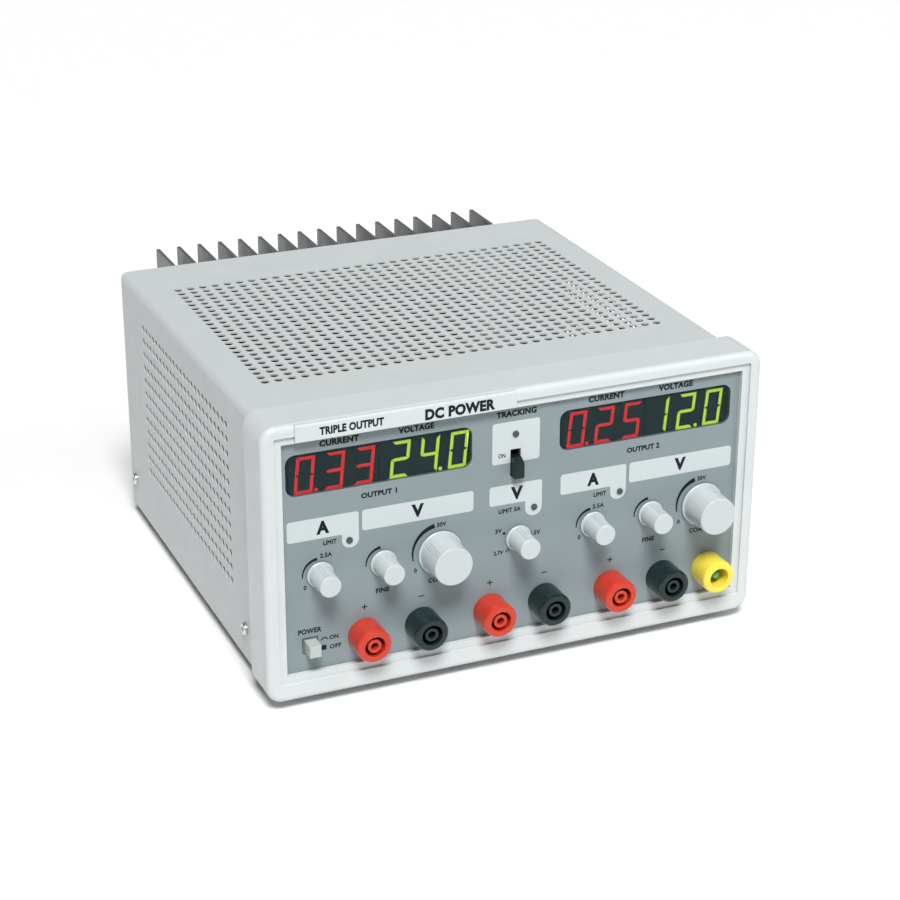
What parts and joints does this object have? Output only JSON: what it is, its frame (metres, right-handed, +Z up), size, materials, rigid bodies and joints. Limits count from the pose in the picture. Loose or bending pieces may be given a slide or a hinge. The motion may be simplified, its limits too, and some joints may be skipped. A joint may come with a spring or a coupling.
{
  "type": "bench power supply",
  "caption": "Triple-output bench DC power supply with twin LED displays, control knobs, shrouded sockets, a perforated cover and a finned rear heat sink.",
  "frame": {"origin": "centre of the whole object's footprint, on the surface that the feet stand on", "axes": "+Z up, -Y out of the front panel towards the user, +X to the user's right"},
  "size_m": [0.267, 0.305, 0.1514],
  "materials": {
    "bezel_plastic": "fine moulded texture",
    "panel_print": "satin printed aluminium",
    "display_window": "smoked gloss acrylic",
    "display_body": "satin",
    "indicator": "unlit tinted epoxy",
    "socket_red": "satin moulded",
    "socket_black": "satin moulded",
    "socket_yellow": "satin moulded",
    "earth_green": "satin moulded",
    "contact_metal": "nickel-plated brass",
    "cover_paint": "fine textured powder coat",
    "chassis_steel": "zinc plated",
    "heat_sink": "dark anodised",
    "screw_steel": "bright nickel",
    "rubber": "matte",
    "transformer_iron": "varnished laminations",
    "coil_tape": "varnished tape over copper",
    "board_green": "solder-masked glass fibre",
    "component_black": "moulded epoxy",
    "capacitor_sleeve": "shrink sleeve",
    "knob_plastic": "pale moulded, slightly translucent",
    "shaft_metal": "machined",
    "button_plastic": "moulded",
    "lever_plastic": "moulded",
    "fuse_glass": "clear glass tube",
    "label_white": "satin screen print",
    "print_dark": "satin screen print",
    "digits_red": "lit display segment",
    "digits_green": "lit display segment"
  },
  "bodies": {
    "case": {"front_bezel": "bezel_plastic", "badge_plate": "bezel_plastic", "front_panel": "panel_print", "display_window_left": "display_window", "display_window_right": "display_window", "led_display_left_current": "display_body", "led_display_left_voltage": "display_body", "led_display_right_current": "display_body", "led_display_right_voltage": "display_body", "indicator_leds": "indicator", "socket_1_positive": "socket_red", "socket_1_negative": "socket_black", "socket_2_positive": "socket_red", "socket_2_negative": "socket_black", "socket_3_positive": "socket_red", "socket_3_negative": "socket_black", "socket_earth": "socket_yellow", "socket_earth_pin": "earth_green", "socket_contacts": "contact_metal", "socket_nuts": "contact_metal", "top_cover": "cover_paint", "base_tray": "chassis_steel", "rear_panel": "chassis_steel", "heat_sink": "heat_sink", "power_transistors": "component_black", "case_screws": "screw_steel", "rubber_feet": "rubber", "feet_screws": "screw_steel", "mains_inlet": "socket_black", "mains_inlet_pins": "contact_metal", "transformer_core": "transformer_iron", "transformer_coil": "coil_tape", "transformer_bracket": "chassis_steel", "main_board": "board_green", "board_standoffs": "chassis_steel", "filter_capacitors": "capacitor_sleeve", "bridge_rectifiers": "component_black", "control_board": "board_green", "potentiometers": "component_black", "mains_switch": "component_black", "tracking_switch": "component_black"},
    "current_left_knob": {"knob_current_left": "knob_plastic", "shaft_current_left": "shaft_metal"},
    "fine_left_knob": {"knob_fine_left": "knob_plastic", "shaft_fine_left": "shaft_metal"},
    "coarse_left_knob": {"knob_coarse_left": "knob_plastic", "shaft_coarse_left": "shaft_metal"},
    "trim_knob": {"knob_trim": "knob_plastic", "shaft_trim": "shaft_metal"},
    "current_right_knob": {"knob_current_right": "knob_plastic", "shaft_current_right": "shaft_metal"},
    "fine_right_knob": {"knob_fine_right": "knob_plastic", "shaft_fine_right": "shaft_metal"},
    "coarse_right_knob": {"knob_coarse_right": "knob_plastic", "shaft_coarse_right": "shaft_metal"},
    "power_button": {"power_button": "button_plastic", "power_push_rod": "button_plastic"},
    "tracking_slider": {"tracking_slider": "lever_plastic"},
    "fuse_drawer": {"fuse_drawer": "socket_black", "mains_fuse": "fuse_glass"}
  },
  "joints": [
    {"name": "current_left_turn", "type": "hinge", "parent": "case", "child": "current_left_knob", "pos_m": [-0.1045, -0.134, 0.0704], "axis": [0, 1, 0], "range_deg": [-150, 150]},
    {"name": "fine_left_turn", "type": "hinge", "parent": "case", "child": "fine_left_knob", "pos_m": [-0.0718, -0.134, 0.0704], "axis": [0, 1, 0], "range_deg": [-150, 150]},
    {"name": "coarse_left_turn", "type": "hinge", "parent": "case", "child": "coarse_left_knob", "pos_m": [-0.042, -0.134, 0.0704], "axis": [0, 1, 0], "range_deg": [-150, 150]},
    {"name": "trim_turn", "type": "hinge", "parent": "case", "child": "trim_knob", "pos_m": [0.0003, -0.134, 0.0704], "axis": [0, 1, 0], "range_deg": [-150, 150]},
    {"name": "current_right_turn", "type": "hinge", "parent": "case", "child": "current_right_knob", "pos_m": [0.0415, -0.134, 0.0704], "axis": [0, 1, 0], "range_deg": [-150, 150]},
    {"name": "fine_right_turn", "type": "hinge", "parent": "case", "child": "fine_right_knob", "pos_m": [0.0742, -0.134, 0.0704], "axis": [0, 1, 0], "range_deg": [-150, 150]},
    {"name": "coarse_right_turn", "type": "hinge", "parent": "case", "child": "coarse_right_knob", "pos_m": [0.104, -0.134, 0.0704], "axis": [0, 1, 0], "range_deg": [-150, 150]},
    {"name": "power_push", "type": "slide", "parent": "case", "child": "power_button", "axis": [0, 1, 0], "range_m": [0, 0.0045]},
    {"name": "tracking_slide", "type": "slide", "parent": "case", "child": "tracking_slider", "axis": [0, 0, 1], "range_m": [0, 0.0035]},
    {"name": "fuse_drawer_pull", "type": "slide", "parent": "case", "child": "fuse_drawer", "axis": [0, 1, 0], "range_m": [0, 0.018]}
  ]
}
